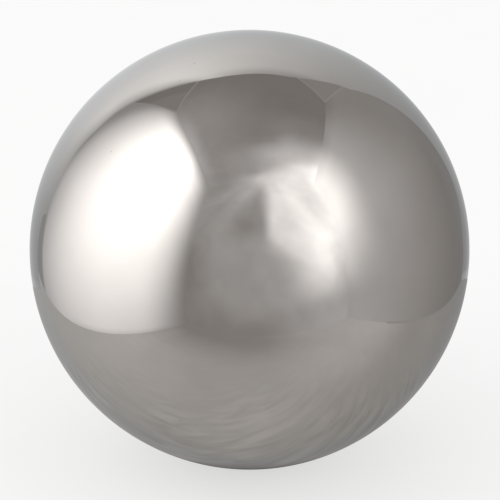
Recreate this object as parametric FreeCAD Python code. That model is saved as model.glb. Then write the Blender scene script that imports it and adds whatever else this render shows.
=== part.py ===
"""Loose bearing ball: one solid sphere of hardened chrome steel, ground and lapped all over.

A ball of this kind is forged from a single slug of steel, so it has no shell, core, seam,
bore or flat, and nothing on it moves against anything else.
Frame: millimetres, +Z up, origin at the centre of the ball.
"""
import FreeCAD, Part
import math
import os

# Driving dimension
BALL_DIAMETER = 100.0  # nominal diameter, one of the preferred sizes for bearing balls

# Largest error allowed in the finished solid, as a share of the exact value
ALLOWED_ERROR = 1e-6

PARTS_FOLDER = "parts"


def bearing_ball(diameter):
    """The rolling element: a full sphere about the origin, with its poles on Z."""
    centre = FreeCAD.Vector(0, 0, 0)
    up = FreeCAD.Vector(0, 0, 1)
    return Part.makeSphere(diameter / 2.0, centre, up)


def check_ball(ball, diameter):
    """Stops the build unless the ball is one valid closed solid of the exact size, centred."""
    exact_volume = math.pi / 6.0 * diameter**3
    if not ball.isValid() or len(ball.Solids) != 1 or not ball.Solids[0].isClosed():
        raise ValueError("the ball is not one valid closed solid")
    if abs(ball.Volume / exact_volume - 1.0) > ALLOWED_ERROR:
        raise ValueError("the ball's volume is not that of a sphere of its diameter")
    if ball.BoundBox.Center.Length > ALLOWED_ERROR * diameter:
        raise ValueError("the ball is not centred on the origin")


def build():
    """Every separate piece of the object, by node name."""
    ball = bearing_ball(BALL_DIAMETER)
    check_ball(ball, BALL_DIAMETER)
    return {"bearing_ball": ball}


os.makedirs(PARTS_FOLDER, exist_ok=True)
for node, shape in build().items():
    shape.exportStep(os.path.join(PARTS_FOLDER, node + ".step"))
    print(f"{node}: {shape.BoundBox.XLength:.3f} mm across, {shape.Volume / 1000.0:.3f} cm3")
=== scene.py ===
"""A polished steel bearing ball, standing in a small cloth light tent on a pale floor.

The ball is a mirror, so nearly all that shows on it is the tent: a glowing left wall, a pale
backing sheet, a shaded ceiling, a bright patch by the opening and a creased cloth floor. The
tent's cloths are glowing panels, with their light, shade and creases painted on, and they are
seen only in reflections. The camera sees the ball and a plain pale floor.

The tent is laid out in ball radii from the ball's centre: x to the right, y away from the
camera, z up. It is then turned a little about z, as it stood a few degrees askew.
"""
import math

import bmesh
import bpy
import numpy as np
from mathutils import Matrix, Vector


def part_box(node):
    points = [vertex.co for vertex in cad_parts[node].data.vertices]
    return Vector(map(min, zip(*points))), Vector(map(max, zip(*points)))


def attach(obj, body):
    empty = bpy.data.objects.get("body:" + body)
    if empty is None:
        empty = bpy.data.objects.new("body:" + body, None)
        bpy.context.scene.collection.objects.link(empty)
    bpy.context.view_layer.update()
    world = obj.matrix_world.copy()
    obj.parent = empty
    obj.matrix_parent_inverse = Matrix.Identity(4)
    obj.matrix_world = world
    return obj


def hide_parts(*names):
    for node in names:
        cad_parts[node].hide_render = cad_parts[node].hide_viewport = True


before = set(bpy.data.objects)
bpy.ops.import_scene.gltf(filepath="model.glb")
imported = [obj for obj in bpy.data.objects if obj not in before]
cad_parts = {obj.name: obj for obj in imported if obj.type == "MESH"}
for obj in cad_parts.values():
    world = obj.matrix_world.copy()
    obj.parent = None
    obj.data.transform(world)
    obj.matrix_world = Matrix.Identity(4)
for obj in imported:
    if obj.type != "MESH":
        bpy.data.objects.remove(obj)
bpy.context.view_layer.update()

# The ball, from the frame
BALL_LOW, BALL_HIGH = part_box("bearing_ball")
BALL_CENTRE = Vector((0.0, 0.0, 0.0))  # the frame's origin, as the record says
BALL_RADIUS = (BALL_HIGH.z - BALL_LOW.z) / 2  # its poles are on z, where the CAD mesh is exact
BALL_DIVISIONS = 96  # quads along each edge of the cube that the ball's mesh starts from

# The steel. Colours are linear, and the scales are in patterns per metre
STEEL_COLOUR = (0.60, 0.59, 0.575)
STEEL_EDGE = (0.76, 0.80, 0.84, 1.0)  # near its outline steel mirrors a little less, and cooler
CLEAR_SHARES = (0.97, 0.97, 0.965)  # of STEEL_COLOUR, where the lapping left the least haze
HAZY_SHARES = (1.02, 1.02, 1.02)  # and where it left the most
MIRROR_ROUGHNESS = 0.022
HAZE_ROUGHNESS = 0.02  # what the haze adds to it
CLOUD_SCALE = 45.0  # the clouds of haze are a few centimetres across
GRAIN_SCALE = 900.0
HAIRLINE_SETS = (  # each direction's turn, and its scale across the lines
    ((0.3, 0.2, 0.5), 1500.0),
    ((1.1, 0.7, 2.0), 1900.0),
    ((2.2, 1.4, 0.9), 1700.0),
)
HAIRLINE_SCALE_ALONG = 26.0
SPECK_SCALE = 330.0  # the specks lie in the cells of a 3 mm pattern
SPECK_CELLS_ABOVE = 0.955  # only the cells whose random number is above this have a speck
SPECK_COLOUR = (0.36, 0.34, 0.32, 1.0)
RIPPLE_SCALE = 240.0
RELIEF = 6e-7  # the depth of the ripples in metres, and the unit of the finer marks

# The tent, in ball radii
TENT_YAW = math.radians(7.5)
LEFT = -2.25
LEFT_LEAN = 0.035  # the left wall's top leans in and its foot stands out by this much
LEFT_SAG = 0.06  # and the middle of its top hangs in a little further
RIGHT = 2.47
RIGHT_LEAN = 0.05  # the right wall's top leans out
BACK = 2.6
FRONT = -3.2
FLOOR = -1.0
CEILING = 4.4
SHEET_AT = 1.62  # how far back the backing sheet hangs, in front of the tent's own back
CLOTH_CELLS = 150  # cells along each side of a cloth's mesh, fine enough for its soft shades

# The pale floor and its light
FLOOR_HALF_WIDTH = 60.0  # ball radii
PAPER_COLOURS = ((0.93, 0.93, 0.925, 1.0), (0.95, 0.95, 0.945, 1.0))
PAPER_SHARE = 0.35  # how much of the floor is lit paper. The rest is an even glow, so it stays pale
FLOOR_GLOW = 0.97
SURROUND_STRENGTH = 0.95

# The camera
CAMERA_DISTANCE = 18.0  # ball radii from the ball's centre
CAMERA_ELEVATION = math.radians(21.0)
BALL_SHARE = 0.880  # the ball's diameter as a share of the picture's width
SENSOR_WIDTH = 36.0
CAMERA_SHIFT = (0.0009, -0.0006)  # the ball stands a hair off the picture's centre


# ---------------------------------------------------------------- small helpers


def ramp(value, start, end):
    """0 up to start and 1 from end on, easing between. start may be the larger of the two."""
    share = np.clip((value - start) / (end - start), 0.0, 1.0)
    return share * share * (3.0 - 2.0 * share)


def between(low, high, share):
    """The value that share of the way from low to high."""
    return low + (high - low) * share


def spot(u, v, centre, reach):
    """A soft round spot: 1 at its centre, falling off as a bell curve of that reach."""
    return np.exp(-(((u - centre[0]) / reach[0]) ** 2) - ((v - centre[1]) / reach[1]) ** 2)


def bell(value, centre, reach):
    """1 at the centre, falling off as a bell curve of that reach."""
    return np.exp(-(((value - centre) / reach) ** 2))


def shares_of(colour, shares):
    """A colour with each channel scaled by its own share, and an alpha of 1."""
    return [channel * share for channel, share in zip(colour, shares)] + [1.0]


def link_new(name, mesh):
    """A new object of that mesh, in the scene."""
    made = bpy.data.objects.new(name, mesh)
    bpy.context.scene.collection.objects.link(made)
    return made


class Nodes:
    """A short way to write a material's nodes."""

    def __init__(self, name):
        self.material = bpy.data.materials.new(name)
        self.material.use_nodes = True
        self.tree = self.material.node_tree
        self.tree.nodes.clear()

    def add(self, kind, settings=None, **inputs):
        """A node of that kind. An input's value is a number, a colour or another node's output."""
        node = self.tree.nodes.new(kind)
        for key, value in (settings or {}).items():
            setattr(node, key, value)
        for key, value in inputs.items():
            self.feed(node, key.replace("_", " "), value)
        return node

    def feed(self, node, key, value):
        """Sets or links the input of that name, or of that number for a name like 'in0'."""
        numbered = key.startswith("in") and key[2:].isdigit()
        socket = node.inputs[int(key[2:]) if numbered else key]
        if isinstance(value, bpy.types.NodeSocket):
            self.tree.links.new(value, socket)
        else:
            socket.default_value = value

    def math(self, operation, first, second=0.0, third=0.0):
        """The output of one Math node."""
        node = self.add("ShaderNodeMath", {"operation": operation}, in0=first, in1=second, in2=third)
        return node.outputs[0]

    def span(self, value, low, high, to_low, to_high):
        """value, clamped from low..high and eased to to_low..to_high."""
        settings = {"interpolation_type": "SMOOTHSTEP"}
        names = {"Value": value, "From_Min": low, "From_Max": high, "To_Min": to_low, "To_Max": to_high}
        return self.add("ShaderNodeMapRange", settings, **names).outputs[0]

    def noise(self, place, scale, detail=2.0, roughness=0.5, distortion=0.0):
        """A noise texture's value at that place."""
        names = {"Scale": scale, "Detail": detail, "Roughness": roughness, "Distortion": distortion}
        return self.add("ShaderNodeTexNoise", {}, Vector=place, **names).outputs[0]

    def turned_and_scaled(self, place, turn, scale):
        """place, turned and then scaled, to draw a pattern out along a direction of its own."""
        turned = self.add("ShaderNodeMapping", {}, Vector=place, Rotation=turn).outputs[0]
        return self.add("ShaderNodeMapping", {}, Vector=turned, Scale=scale).outputs[0]

    def mix(self, share, first, second):
        """A colour between two colours."""
        node = self.add("ShaderNodeMix", {"data_type": "RGBA"})
        self.feed(node, "in0", share)
        self.feed(node, "in6", first)
        self.feed(node, "in7", second)
        return node.outputs[2]


# ---------------------------------------------------------------- the ball


def cube_face(bm, axis, side, slopes, radius):
    """One face of the cube, as rows of points pushed out to the sphere, with quads between them."""
    rows = []
    for second in slopes:
        row = []
        for first in slopes:
            point = Vector((0.0, 0.0, 0.0))
            point[axis] = side
            point[(axis + 1) % 3] = first * side
            point[(axis + 2) % 3] = second
            row.append(bm.verts.new(point.normalized() * radius))
        rows.append(row)
    for lower, upper in zip(rows, rows[1:]):
        for k in range(len(slopes) - 1):
            bm.faces.new((lower[k], lower[k + 1], upper[k + 1], upper[k]))


def cube_sphere(name, centre, radius, divisions):
    """A closed sphere of quads: a cube's six faces, divided by equal angles and pushed out.

    It has no poles, so the mirror has no pinched spot, and its quads are all much the same size.
    """
    angles = [math.pi / 4 * (2 * step / divisions - 1) for step in range(divisions + 1)]
    slopes = [math.tan(angle) for angle in angles]
    bm = bmesh.new()
    for axis in range(3):
        for side in (-1.0, 1.0):
            cube_face(bm, axis, side, slopes, radius)
    bmesh.ops.remove_doubles(bm, verts=bm.verts, dist=radius / divisions / 10)
    bmesh.ops.recalc_face_normals(bm, faces=bm.faces)
    mesh = bpy.data.meshes.new(name)
    bm.to_mesh(mesh)
    bm.free()
    normals = [vertex.co.normalized() for vertex in mesh.vertices]
    mesh.transform(Matrix.Translation(centre))
    mesh.shade_smooth()
    mesh.normals_split_custom_set_from_vertices(normals)
    return link_new(name, mesh)


def hairlines(nodes, place):
    """1 on the hairlines that lapping leaves, in a few directions, and 0 off them."""
    found = None
    for turn, scale_across in HAIRLINE_SETS:
        scale = (scale_across, HAIRLINE_SCALE_ALONG, HAIRLINE_SCALE_ALONG)
        drawn = nodes.turned_and_scaled(place, turn, scale)
        lines = nodes.span(nodes.noise(drawn, 1.0, detail=1.0), 0.66, 0.80, 0.0, 1.0)
        found = lines if found is None else nodes.math("MAXIMUM", found, lines)
    return found


def specks(nodes, place):
    """1 on a few specks, some tenths of a millimetre across, and 0 off them."""
    cells = nodes.add("ShaderNodeTexVoronoi", {"feature": "F1"}, Vector=place, Scale=SPECK_SCALE)
    number = nodes.add("ShaderNodeSeparateColor", {}, Color=cells.outputs["Color"]).outputs[0]
    chosen = nodes.math("GREATER_THAN", number, SPECK_CELLS_ABOVE)
    return nodes.math("MULTIPLY", nodes.span(cells.outputs["Distance"], 0.05, 0.11, 1.0, 0.0), chosen)


def lapped_steel():
    """Hardened chrome steel, lapped to a mirror: a faint haze, hairline lapping marks, fine specks."""
    nodes = Nodes("lapped_steel")
    place = nodes.add("ShaderNodeTexCoord").outputs["Object"]
    clouds = nodes.noise(place, CLOUD_SCALE, detail=3.0)
    grain = nodes.noise(place, GRAIN_SCALE, detail=3.0, roughness=0.6)
    ripples = nodes.noise(place, RIPPLE_SCALE, detail=1.0)
    lines = hairlines(nodes, place)
    dots = specks(nodes, place)

    clear = shares_of(STEEL_COLOUR, CLEAR_SHARES)
    hazy = shares_of(STEEL_COLOUR, HAZY_SHARES)
    colour = nodes.mix(nodes.span(clouds, 0.35, 0.65, 0.0, 1.0), clear, hazy)
    colour = nodes.mix(nodes.math("MULTIPLY", dots, 0.5), colour, SPECK_COLOUR)

    roughness = nodes.span(clouds, 0.30, 0.70, MIRROR_ROUGHNESS, MIRROR_ROUGHNESS + HAZE_ROUGHNESS)
    roughness = nodes.math("MULTIPLY_ADD", grain, 0.01, roughness)
    roughness = nodes.math("MULTIPLY_ADD", lines, 0.03, roughness)
    roughness = nodes.math("MULTIPLY_ADD", dots, 0.25, roughness)

    height = nodes.math("MULTIPLY_ADD", lines, -0.15, ripples)
    height = nodes.math("MULTIPLY_ADD", dots, -3.0, height)
    bump = nodes.add("ShaderNodeBump", {}, Strength=1.0, Distance=RELIEF, Height=height)

    shader = nodes.add("ShaderNodeBsdfPrincipled", {}, Metallic=1.0, Base_Color=colour, Roughness=roughness)
    nodes.feed(shader, "Specular Tint", STEEL_EDGE)
    nodes.feed(shader, "Normal", bump.outputs[0])
    output = nodes.add("ShaderNodeOutputMaterial")
    nodes.feed(output, "Surface", shader.outputs[0])
    return nodes.material


# ---------------------------------------------------------------- the tent's cloths


SHADE_TINT = np.array([1.075, 0.994, 0.931])  # the cloth where little light falls
LIGHT_TINT = np.array([1.032, 0.994, 0.974])  # and where it is bright
FLOOR_TINT = np.array([1.046, 0.999, 0.952])  # the floor cloth is a little greener
SHEET_TINT = np.array([1.032, 0.997, 0.971])  # the backing sheet is a whiter cloth


def cloth_material(name, creases, size, wrinkles=0.0):
    """Cloth lit from outside, shown as a glow: it glows with the painted light and shade stored on
    its mesh, broken up by the painted shade and highlights of faint creases.

    creases and wrinkles say how deep that painted shading is, as shares of the glow, and size is
    how wide the creases are, in ball radii. The creases are deepest towards the front, where the
    cloth hangs loose.
    """
    nodes = Nodes(name)
    place = nodes.add("ShaderNodeTexCoord").outputs["Object"]
    tone = nodes.add("ShaderNodeAttribute", {"attribute_name": "tone"}).outputs["Color"]
    crease_shading = nodes.noise(place, 1.0 / (size * BALL_RADIUS), detail=1.5, distortion=0.5)
    crease_shading = nodes.span(crease_shading, 0.25, 0.75, -creases, creases)
    depth = nodes.add("ShaderNodeSeparateXYZ", {}, Vector=place).outputs["Y"]
    looseness = nodes.span(depth, -2.5 * BALL_RADIUS, -0.8 * BALL_RADIUS, 1.0, 0.5)
    strength = nodes.math("MULTIPLY_ADD", crease_shading, looseness, 1.0)
    if wrinkles:
        strength = nodes.math("MULTIPLY_ADD", floor_wrinkle_shading(nodes, place), wrinkles, strength)
    glow = nodes.add("ShaderNodeEmission", {}, Color=tone, Strength=strength)
    output = nodes.add("ShaderNodeOutputMaterial")
    nodes.feed(output, "Surface", glow.outputs[0])
    nodes.material.cycles.emission_sampling = "NONE"
    return nodes.material


WRINKLE_TURN = math.radians(27.5)  # the floor's wrinkles run to the right and the front
WRINKLE_SCALE = (2.8, 13.0, 1.0)  # patterns per ball radius along them, across them and up
WRINKLE_PATCH_SCALE = 1.6  # and of the patches that they come in


def floor_wrinkle_shading(nodes, place):
    """Painted light and shade of fine folds that run one way over the floor, in patches. They are fainter
    far from the ball.
    """
    scale = tuple(Vector(WRINKLE_SCALE) / BALL_RADIUS)
    drawn = nodes.turned_and_scaled(place, (0.0, 0.0, WRINKLE_TURN), scale)
    folds = nodes.span(nodes.noise(drawn, 1.0, detail=2.0, distortion=0.7), 0.24, 0.76, -1.0, 1.0)
    patches = nodes.noise(place, WRINKLE_PATCH_SCALE / BALL_RADIUS, detail=1.0)
    patches = nodes.span(patches, 0.40, 0.60, 0.30, 1.0)
    away = nodes.add("ShaderNodeVectorMath", {"operation": "LENGTH"}, in0=place).outputs["Value"]
    near_ball = nodes.span(away, 1.3 * BALL_RADIUS, 1.9 * BALL_RADIUS, 1.0, 0.15)
    return nodes.math("MULTIPLY", nodes.math("MULTIPLY", folds, patches), near_ball)


def from_tent(points):
    """Points in the tent's own radii, turned by its yaw and brought to the frame's metres."""
    turn = np.array(Matrix.Rotation(TENT_YAW, 3, "Z"))
    return points @ turn.T * BALL_RADIUS + np.array(BALL_CENTRE)


def only_in_reflections(made):
    """The object shows in the ball, and nowhere else, and takes no light from anything."""
    made.visible_camera = False
    made.visible_diffuse = False
    made.visible_transmission = False
    made.visible_volume_scatter = False
    made.visible_shadow = False


def cloth(name, place, tone, material, tints=(SHADE_TINT, LIGHT_TINT)):
    """A cloth of the tent, glowing with painted light and shade.

    place(u, v) gives its points and tone(x, y, z) the light and shade painted on it there.
    tints are its tints where it is dark and where it is bright.
    """
    steps = np.linspace(0.0, 1.0, CLOTH_CELLS + 1)
    u, v = [grid.ravel() for grid in np.meshgrid(steps, steps)]
    points = np.stack(np.broadcast_arrays(*place(u, v)), axis=1)
    across = CLOTH_CELLS + 1
    faces = []
    for row in range(CLOTH_CELLS):
        for k in range(row * across, row * across + CLOTH_CELLS):
            faces.append((k, k + 1, k + across + 1, k + across))
    mesh = bpy.data.meshes.new(name)
    mesh.from_pydata(from_tent(points).tolist(), [], faces)
    brightness = tone(points[:, 0], points[:, 1], points[:, 2])[:, None]
    colours = np.ones((len(points), 4))
    colours[:, :3] = brightness * between(*tints, ramp(brightness, 0.22, 0.55))
    mesh.attributes.new("tone", "FLOAT_COLOR", "POINT").data.foreach_set("color", colours.ravel())
    made = link_new(name, mesh)
    mesh.materials.append(material)
    only_in_reflections(made)
    return made


def left_wall_place(u, v):
    """The left wall doesn't stand quite upright."""
    y = between(FRONT, BACK, u)
    sag = LEFT_SAG * v**2 * bell(y, -1.1, 1.1)
    x = between(LEFT - LEFT_LEAN, LEFT + LEFT_LEAN, v) + sag
    return x, y, between(FLOOR, CEILING, v)


def right_wall_place(u, v):
    """The right wall leans the other way."""
    x = between(RIGHT - RIGHT_LEAN, RIGHT + RIGHT_LEAN, v)
    return x, between(FRONT, BACK, u), between(FLOOR, CEILING, v)


def upright(x_from, x_to, y):
    """The place function of a flat cloth that hangs from the ceiling to the floor at that y."""
    return lambda u, v: (between(x_from, x_to, u), y, between(FLOOR, CEILING, v))


def level(x_from, x_to, z):
    """The place function of a flat cloth that lies level, from the front to the back."""
    return lambda u, v: (between(x_from, x_to, u), between(FRONT, BACK, v), z)


def left_wall_tone(x, y, z):
    """A lamp outside fills this wall: white in the middle, fading to all four sides."""
    low = ramp(z, 0.3, -0.2)
    behind_sheet = ramp(y, between(1.2, 1.4, low), between(2.0, 1.6, low))
    dim_at_back = between(0.63, 0.40, ramp(z, 2.4, 4.6)) * between(1.0, 0.60, behind_sheet)
    dim = between(left_front_corner(z), dim_at_back, ramp(y, FRONT, 1.0))
    along = ramp(y, FRONT - 0.05, -1.4) * ramp(y, 1.75, -0.8)
    up = ramp(z, -2.7, 2.6) * ramp(z, 4.56, 3.45)
    lamp = 1.9 * along * up * (1.0 - 0.26 * ramp(z, 3.0, 4.0) * ramp(y, -1.2, -2.2))
    top_corner = 0.2 * ramp(y, 1.0, 1.5) * ramp(z, 3.2, 4.2)
    foot = 0.15 * ramp(z, -0.88, FLOOR) * ramp(y, 0.6, -0.2) * ramp(y, -2.9, -2.1)
    return (dim + lamp) * (1.0 - top_corner) * (1.0 - foot)


def left_front_corner(z):
    """How bright the upright corner between the left and front walls is."""
    return 0.31 + 0.15 * ramp(z, 0.6, 2.6) - 0.04 * ramp(z, 3.0, CEILING)


def right_wall_tone(x, y, z):
    """Bright towards the opening, where the second lamp stands, and dim towards the back."""
    dim = 0.29 + 0.05 * ramp(z, 0.3, 1.6) - 0.05 * ramp(z, 3.7, CEILING)
    dim = dim + 0.03 * ramp(y, 0.9, 1.5) * ramp(z, 1.2, 0.3)
    dim = dim + 0.07 * ramp(y, -2.3, FRONT) * bell(z, 0.45, 0.5)
    spill = between(0.22, 0.42, ramp(z, -0.3, 3.2)) * ramp(y, 1.2 - 0.5 * ramp(z, 1.0, -0.6), -2.6)
    drawn_front = 0.4 * ramp(z, 3.0, 1.0)
    glow = 0.9 * ramp(z, -0.5, 2.4) * ramp(y, -1.0 - drawn_front, -2.8 - drawn_front)
    top = 0.12 * ramp(z, 3.7, CEILING) * ramp(y, -0.2, -1.2)
    by_opening = 0.16 * ramp(z, 3.6, CEILING) * ramp(y, -2.3, FRONT)
    return (dim + spill + glow) * (1.0 - top) + by_opening


def ceiling_front_edge(x):
    """How bright the edge between the ceiling and the front wall is."""
    return 0.26 + 0.17 * ramp(x, 1.5, LEFT) + 1.05 * ramp(x, -1.6, 1.6) + 0.4 * ramp(x, 1.9, 2.6)


def ceiling_tone(x, y, z):
    """In shade, but for the front right corner over the second lamp."""
    shade = 0.255 + 0.15 * ramp(x, 1.2, -2.1) * ramp(y, 2.4, -0.2)
    shade = shade + 0.08 * ramp(x, -0.3, 1.2) * ramp(y, 0.3, -1.0)
    near_wall = 0.22 * ramp(x, -1.6, LEFT) * bell(y, -1.1, 1.5)
    halfway = between(0.35, 0.45, ramp(x, -0.6, 0.6))
    rise_starts = between(-2.75, -2.1, ramp(x, -0.1, 1.3))
    climb = ramp(y, between(-1.1, -0.8, ramp(x, 0.5, 1.2)), -2.1)
    to_front = between(halfway * climb, 1.0, ramp(y, rise_starts, FRONT))
    to_front = to_front + 0.40 * ramp(x, 1.0, 2.0) * bell(y, -2.55, 0.4)
    # Painted shade in a sag of the ceiling cloth
    ceiling_fold_shade = 0.03 * spot(x, y, (0.4, -1.42), (0.5, 0.10))
    return between(shade, ceiling_front_edge(x), to_front) + near_wall - ceiling_fold_shade


def floor_tone(x, y, z):
    """Even grey cloth, with painted light and shade: a little lighter under the left wall, with a painted
    shadow under the ball and painted shade in front.
    """
    left = 0.08 * ramp(x, -0.6, -2.0) * ramp(y, -2.2, -0.8)
    right = 0.09 * ramp(x, -0.2, 0.8) * ramp(y, -1.6, -0.6)
    by_opening = 0.07 * ramp(x, -0.4, 1.2) * ramp(y, -0.9, -2.0)
    front = 0.16 * ramp(y, -1.6, -2.9) * ramp(x, 2.1, -0.5)
    by_left_wall = 0.04 * ramp(x, -1.7, -2.1) * ramp(y, -0.8, -1.3) * ramp(y, -3.0, -2.4)
    # Painted shade round the ball, and a painted shadow where it stands
    under = 0.20 * ramp(np.hypot(x, y), 1.0, 0.3)
    contact_shadow = 0.92 * ramp(np.hypot(x, y), 0.47, 0.16)
    return (0.48 + left - right + by_opening - front + by_left_wall) * (1.0 - under) * (1.0 - contact_shadow)


# The front cloth's folds show only as painted light and shade, fanning out from a point above the ceiling,
# whose x and z these are
FAN_TOP = (0.42, 5.0)
FAN_ANGLES = (-65, -50, -42, -30, -16, -3, 8, 20, 35, 52, 70)  # degrees from straight down
FAN_SHADING = (0.00, 0.07, -0.05, 0.08, -0.11, 0.05, -0.05, 0.03, -0.09, 0.05, 0.00)  # + is lighter


def fold_fan_shading(x, z):
    """The painted light and shade of the front cloth's hanging folds: how much lighter or darker they are.
    They fade out below.
    """
    angle = np.degrees(np.arctan2(x - FAN_TOP[0], FAN_TOP[1] - z))
    return np.interp(angle, FAN_ANGLES, FAN_SHADING) * ramp(z, 1.2, 2.8) * ramp(x, 2.3, 1.6)


def front_wall_tone(x, y, z):
    """Plain cloth on the left, and on the right a loose flap with the second lamp behind it, all in painted
    light and shade.
    """
    # Painted shade and highlights of the plain cloth's folds, and painted light beside the flap
    fold_shade = 0.08 * spot(x, z, (-0.55, 1.95), (0.45, 0.45))
    fold_highlight = 0.13 * spot(x, z, (-0.55, 3.5), (1.0, 0.6))
    low_fold_highlight = 0.04 * spot(x, z, (-0.8, 1.3), (0.7, 0.5))
    by_flap = 0.06 * spot(x, z, (0.02, 1.25), (0.3, 0.75))
    plain = 0.45 - fold_shade + fold_highlight + low_fold_highlight + by_flap
    flap_edge = between(0.45, 0.11, ramp(z, 0.7, 1.6)) + 0.07 * ramp(z, 2.0, 3.0)
    softness = between(0.8, 0.2, ramp(z, 0.7, 1.6)) + 0.14 * ramp(z, 2.0, 3.0)
    flap = ramp(x, flap_edge - softness, flap_edge + softness)
    # Behind the flap the second lamp's light is painted on, with painted highlights on its crests and
    # painted shade where it is dull
    lit = right_wall_tone(RIGHT, FRONT, z) * between(0.68, 1.0, ramp(x, 0.2, 2.2))
    hot = 0.50 * spot(x, z, (1.6, 0.8), (0.8, 0.9))
    dull = 0.32 * spot(x, z, (2.0, 3.2), (0.6, 1.0))
    low = 0.13 * spot(x, z, (0.65, -0.1), (0.7, 0.55))
    crest = 0.14 * spot(x, z, (1.05, 3.3), (0.5, 0.6)) + 0.09 * bell(z, 1.6, 0.45)
    lit = lit + (crest - dull) * ramp(x, RIGHT + 0.1, 2.15)
    lit = lit + hot * ramp(x, RIGHT, 1.8) + low
    tone = between(plain, lit, flap) * (1.0 + fold_fan_shading(x, z))
    tone = between(tone, left_front_corner(z), ramp(x, -1.2, LEFT))
    tone = between(tone, ceiling_front_edge(x), ramp(z, 3.2, CEILING))
    foot_starts = between(0.0, 0.6, ramp(x, -0.7, -1.5))
    return between(tone, floor_tone(x, y, FLOOR), ramp(z, foot_starts, FLOOR))


def back_wall_tone(x, y, z):
    """The tent's own back, in the shade behind the sheet."""
    return 0.29 + 0.05 * ramp(z, 3.8, 1.2)


def gusset_tone(x, y, z):
    """The upper back corners are in the shade too."""
    return 0.285 + 0.035 * ramp(x, 1.0, RIGHT) - 0.04 * ramp(y, 1.75, 1.95) * ramp(x, 0.0, -1.0)


GUSSET_LEFT = ((LEFT + LEFT_LEAN, 1.0, CEILING), (-0.95, BACK, CEILING), (LEFT, BACK, 2.1))
GUSSET_RIGHT = ((RIGHT + RIGHT_LEAN, 1.08, CEILING), (1.33, BACK, CEILING), (RIGHT, BACK, 2.5))


SHEET_TOP = 3.76
SHEET_FOOT_AT = 2.3  # how far back the middle of its foot stands
SHEET_FOOT_BOW = 0.15  # and how fast the foot comes forward to its sides

# The sheet is held by its top, so its upper corners are drawn in: x and z along each side
SHEET_LEFT_X = (-2.00, -2.05, -2.36, -2.34, -2.21, -1.98, -1.66, -1.46, -1.18, -0.88, -0.50, -0.1)
SHEET_LEFT_Z = (-0.60, -0.12, 0.02, 0.50, 1.40, 1.80, 2.55, 2.90, 3.25, 3.50, 3.69, SHEET_TOP)
SHEET_RIGHT_X = (2.50, 2.36, 2.22, 2.22, 2.18, 2.00, 1.78, 1.45, 1.15)
SHEET_RIGHT_Z = (-0.70, -0.33, 0.00, 1.20, 2.60, 2.85, 3.22, 3.61, SHEET_TOP)


def sheet_left(z):
    """The sheet's left edge."""
    return np.interp(z, SHEET_LEFT_Z, SHEET_LEFT_X)


def sheet_right(z):
    """The sheet's right edge."""
    return np.interp(z, SHEET_RIGHT_Z, SHEET_RIGHT_X)


def sheet_depth(x, z):
    """How far back the sheet hangs: its foot is bowed, further back in the middle."""
    foot = SHEET_FOOT_AT - SHEET_FOOT_BOW * x**2
    return between(foot, SHEET_AT, ramp(z, FLOOR, 0.5))


def sheet_place(u, v):
    """The backing sheet, with more rows near its top, where its outline bends most."""
    z = between(FLOOR, SHEET_TOP, 1.0 - (1.0 - v) ** 1.5)
    x = between(sheet_left(z), sheet_right(z), u)
    return x, sheet_depth(x, z), z


def sheet_tone(x, y, z):
    """Lit by the left wall, so brightest on that side, but shaded along its edges and towards its foot: all
    painted light and shade. A lighter line runs along its very foot.
    """
    # Lighter along the sheet's very foot
    light_foot_line = 0.10 * ramp(z, -0.90, -0.96)
    high_left = 0.06 * spot(x, z, (-1.0, 2.3), (0.6, 0.8))
    low_right = 0.05 * ramp(x, 1.9, 2.3) * ramp(z, 0.3, -0.3)
    fall = between(1.04, 0.45, ramp(x, -1.9, 2.6)) + light_foot_line + high_left - low_right
    from_left = x - sheet_left(z)
    left_edge = 0.42 * ramp(from_left, 0.65, 0.0) + 0.2 * ramp(from_left, 0.2, 0.0)
    left_edge = left_edge * ramp(z, 0.2, 1.4) * ramp(x, -0.6, -1.2)
    top_edge = 0.28 * ramp(z, 3.0, SHEET_TOP) * ramp(x, -1.2, 0.0)
    low_corner = 0.45 * ramp(x, -0.5, LEFT - 0.3) * ramp(z, 1.7, 0.3)
    foot = 0.30 * ramp(z, 0.8, -0.6) * ramp(x, 1.6, -0.5)
    return fall * (1.0 - left_edge) * (1.0 - top_edge) * (1.0 - low_corner) * (1.0 - foot)


SEAM_WIDTH = 0.05
SEAM_TONE = 0.38
FOOT_SEAM_FRONT = -1.6  # the seam along the right wall's foot shows only between these two depths
FOOT_SEAM_BACK = 1.3


def seam(name, start, end, material):
    """A pale tape sewn along one edge of the tent, just inside it."""
    along = (end - start) / np.linalg.norm(end - start)
    outward = start - along * start.dot(along)
    reach = np.linalg.norm(outward)
    side = np.cross(along, outward / reach) * SEAM_WIDTH / 2
    inset = 1.0 - SEAM_WIDTH / 2 / reach

    def place(u, v):
        middle = between(start[:, None], end[:, None], v) * inset
        return tuple(middle + side[:, None] * (2 * u - 1))

    cloth(name, place, lambda x, y, z: np.full(x.shape, SEAM_TONE), material)


def gusset(side, apex, on_ceiling, on_wall, material):
    """A triangle of cloth across an upper back corner of the tent, with its two seams."""
    apex, on_ceiling, on_wall = np.array(apex), np.array(on_ceiling), np.array(on_wall)

    def place(u, v):
        far_side = between(on_ceiling[:, None], on_wall[:, None], v)
        return tuple(between(apex[:, None], far_side, u))

    cloth("gusset_" + side, place, gusset_tone, material)
    seam("ceiling_seam_" + side, apex, on_ceiling, material)
    seam("wall_seam_" + side, apex, on_wall, material)


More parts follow.
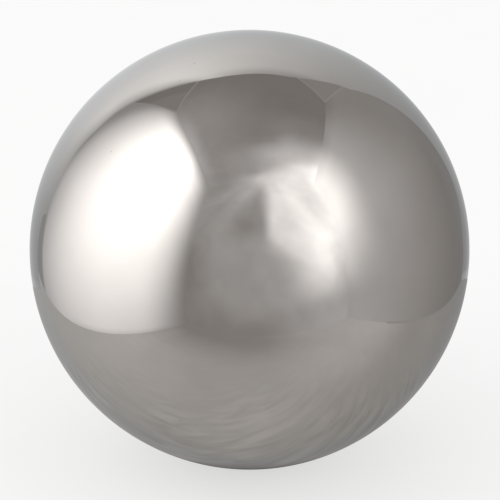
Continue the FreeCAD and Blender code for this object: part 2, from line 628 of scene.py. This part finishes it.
def build_tent():
    """The five sides, the floor and the backing sheet."""
    # These cloth materials are glows of painted light and shade; their creases and the floor's wrinkles are
    # painted shading too
    taut = cloth_material("taut_cloth", 0.02, 0.9)
    hung = cloth_material("hung_cloth", 0.05, 0.7)
    laid = cloth_material("laid_cloth", 0.025, 0.6, wrinkles=0.12)
    smooth = cloth_material("sheet_cloth", 0.012, 1.3)
    foot_left, foot_right = LEFT - LEFT_LEAN, RIGHT - RIGHT_LEAN
    top_right = RIGHT + RIGHT_LEAN
    cloth("tent_left", left_wall_place, left_wall_tone, taut)
    cloth("tent_right", right_wall_place, right_wall_tone, taut)
    cloth("tent_back", upright(LEFT, RIGHT, BACK), back_wall_tone, taut)
    cloth("tent_front", upright(foot_left, top_right, FRONT), front_wall_tone, hung)
    cloth("tent_ceiling", level(LEFT, top_right, CEILING), ceiling_tone, hung)
    cloth("tent_floor", level(foot_left, RIGHT, FLOOR), floor_tone, laid, (SHADE_TINT, FLOOR_TINT))
    cloth("tent_sheet", sheet_place, sheet_tone, smooth, (SHEET_TINT, SHEET_TINT))
    gusset("left", *GUSSET_LEFT, smooth)
    gusset("right", *GUSSET_RIGHT, smooth)
    seam_front = np.array((foot_right, FOOT_SEAM_FRONT, FLOOR))
    seam_back = np.array((foot_right, FOOT_SEAM_BACK, FLOOR))
    seam("foot_seam_right", seam_front, seam_back, smooth)


# ---------------------------------------------------------------- the floor, the lights and the camera


def pale_floor():
    """The plain pale floor that the camera sees, with a soft shadow where the ball stands."""
    mesh = bpy.data.meshes.new("floor")
    bm = bmesh.new()
    bmesh.ops.create_grid(bm, x_segments=12, y_segments=12, size=FLOOR_HALF_WIDTH * BALL_RADIUS)
    bm.to_mesh(mesh)
    bm.free()
    made = link_new("floor", mesh)
    made.location = BALL_CENTRE + Vector((0.0, 0.0, FLOOR * BALL_RADIUS))
    nodes = Nodes("pale_floor")
    place = nodes.add("ShaderNodeTexCoord").outputs["Object"]
    mottle = nodes.span(nodes.noise(place, 30.0), 0.3, 0.7, 0.0, 1.0)
    colour = nodes.mix(mottle, *PAPER_COLOURS)
    paper = nodes.add("ShaderNodeBsdfDiffuse", {}, Color=colour)
    glow = nodes.add("ShaderNodeEmission", {}, Color=(1.0, 1.0, 1.0, 1.0), Strength=FLOOR_GLOW)
    both = nodes.add("ShaderNodeMixShader", {}, in0=PAPER_SHARE, in1=glow.outputs[0], in2=paper.outputs[0])
    output = nodes.add("ShaderNodeOutputMaterial")
    nodes.feed(output, "Surface", both.outputs[0])
    nodes.material.cycles.emission_sampling = "NONE"
    mesh.materials.append(nodes.material)
    made.visible_glossy = False


def soft_light(name, place, size, power):
    """A large soft lamp for the floor, pointed at the ball. Its own shape stays out of the mirror."""
    data = bpy.data.lights.new(name, "AREA")
    data.shape = "DISK"
    data.size = size * BALL_RADIUS
    data.energy = power
    made = bpy.data.objects.new(name, data)
    bpy.context.scene.collection.objects.link(made)
    made.location = BALL_CENTRE + Vector(place) * BALL_RADIUS
    made.rotation_euler = (-Vector(place)).to_track_quat("-Z", "Y").to_euler()
    made.visible_glossy = False


def light_the_set():
    """An even white surround and two soft lamps."""
    world = bpy.data.worlds.new("white_surround")
    bpy.context.scene.world = world
    world.use_nodes = True
    background = world.node_tree.nodes["Background"]
    background.inputs["Color"].default_value = (1.0, 1.0, 1.0, 1.0)
    background.inputs["Strength"].default_value = SURROUND_STRENGTH
    world.cycles_visibility.glossy = False
    soft_light("key_lamp", (-14.0, -6.0, 16.0), 14.0, 1.0)
    soft_light("fill_lamp", (14.0, -10.0, 12.0), 14.0, 0.5)


def place_camera():
    """Looks down at the ball from the front, so far off that the ball fills its share of the picture."""
    data = bpy.data.cameras.new("camera")
    data.sensor_width = SENSOR_WIDTH
    data.lens = SENSOR_WIDTH * BALL_SHARE / 2 * math.sqrt(CAMERA_DISTANCE**2 - 1.0)
    data.shift_x, data.shift_y = CAMERA_SHIFT
    data.clip_start = BALL_RADIUS
    data.clip_end = 200.0 * BALL_RADIUS
    camera = bpy.data.objects.new("camera", data)
    bpy.context.scene.collection.objects.link(camera)
    back = Vector((0.0, -math.cos(CAMERA_ELEVATION), math.sin(CAMERA_ELEVATION)))
    camera.location = BALL_CENTRE + back * (CAMERA_DISTANCE * BALL_RADIUS)
    camera.rotation_euler = (-back).to_track_quat("-Z", "Y").to_euler()
    bpy.context.scene.camera = camera


# ---------------------------------------------------------------- the scene


def build_ball():
    """The one piece, which stands for the one CAD node."""
    ball = cube_sphere("lapped_ball", BALL_CENTRE, BALL_RADIUS, BALL_DIVISIONS)
    ball.data.materials.append(lapped_steel())
    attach(ball, "root")
    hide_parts("bearing_ball")


build_ball()
build_tent()
pale_floor()
light_the_set()
place_camera()
bpy.context.scene.view_settings.view_transform = "Standard"
